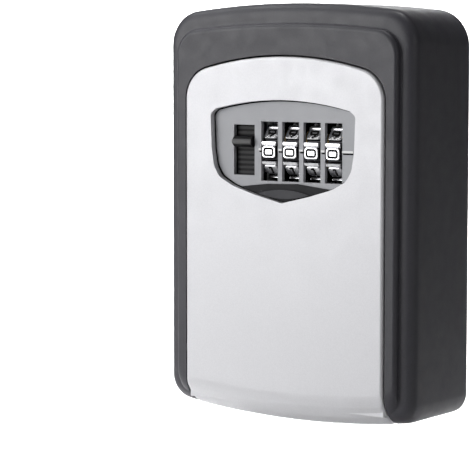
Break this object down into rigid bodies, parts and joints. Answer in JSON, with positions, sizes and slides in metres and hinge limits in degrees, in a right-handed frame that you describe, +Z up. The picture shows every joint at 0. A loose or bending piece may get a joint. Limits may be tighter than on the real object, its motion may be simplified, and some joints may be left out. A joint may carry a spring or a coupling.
{
  "type": "key lock box",
  "caption": "Wall-mounted key lock box with an arched drop-down door, a code dial row, a latch slider and a key cavity behind.",
  "frame": {"origin": "centre of the flat back face, where the box meets the wall, at half the box's height and width", "axes": "+X to the user's right, +Y into the wall, +Z up; the door faces -Y"},
  "size_m": [0.083, 0.0326, 0.118],
  "materials": {
    "case_paint": "fine satin powder coat on a die casting",
    "door_paint": "satin silver paint on a die casting",
    "cast_silver": "satin silver paint",
    "fascia_grey": "satin moulded plastic",
    "catch_grey": "matte moulded plastic",
    "cover_plastic": "satin light grey",
    "steel": "zinc plated",
    "spring_steel": "drawn and rolled spring steel",
    "black_plastic": "moulded, slightly glossy",
    "copper": "stamped copper-plated sheet",
    "dial_metal": "satin chrome plate with black painted numbers",
    "hub_brass": "machined"
  },
  "bodies": {
    "case": {"housing": "case_paint", "strike_bar": "case_paint", "hinge_lug": "cast_silver", "hinge_lug_screws": "steel", "hinge_pin": "steel"},
    "door": {"door_shell": "door_paint", "dial_fascia": "fascia_grey", "finger_catch": "catch_grey", "lock_cover": "cover_plastic", "cover_screws": "steel", "dial_spindle": "steel", "detent_spring": "spring_steel", "latch_spring": "spring_steel"},
    "latch": {"open_slider": "black_plastic", "slider_carrier": "black_plastic", "latch_fork": "copper", "fork_rivet": "steel", "fence_comb": "steel"},
    "wheel_1": {"dial_1": "dial_metal", "code_hub_1": "hub_brass"},
    "wheel_2": {"dial_2": "dial_metal", "code_hub_2": "hub_brass"},
    "wheel_3": {"dial_3": "dial_metal", "code_hub_3": "hub_brass"},
    "wheel_4": {"dial_4": "dial_metal", "code_hub_4": "hub_brass"},
    "code_change": {"reset_lever": "black_plastic"}
  },
  "joints": [
    {"name": "door_hinge", "type": "hinge", "parent": "case", "child": "door", "pos_m": [0, -0.0272, -0.052], "axis": [1, 0, 0], "range_deg": [0, 105]},
    {"name": "open_lever", "type": "slide", "parent": "door", "child": "latch", "axis": [0, 0, 1], "range_m": [-0.005, 0.0025], "deforming": ["latch_spring"]},
    {"name": "dial_1_turn", "type": "hinge", "parent": "door", "child": "wheel_1", "pos_m": [-0.0052, -0.0225, 0.0174], "axis": [1, 0, 0], "continuous": true},
    {"name": "dial_2_turn", "type": "hinge", "parent": "door", "child": "wheel_2", "pos_m": [0.00195, -0.0225, 0.0174], "axis": [1, 0, 0], "continuous": true},
    {"name": "dial_3_turn", "type": "hinge", "parent": "door", "child": "wheel_3", "pos_m": [0.0091, -0.0225, 0.0174], "axis": [1, 0, 0], "continuous": true},
    {"name": "dial_4_turn", "type": "hinge", "parent": "door", "child": "wheel_4", "pos_m": [0.01625, -0.0225, 0.0174], "axis": [1, 0, 0], "continuous": true},
    {"name": "code_change_slide", "type": "slide", "parent": "door", "child": "code_change", "axis": [1, 0, 0], "range_m": [0, 0.0022]}
  ]
}
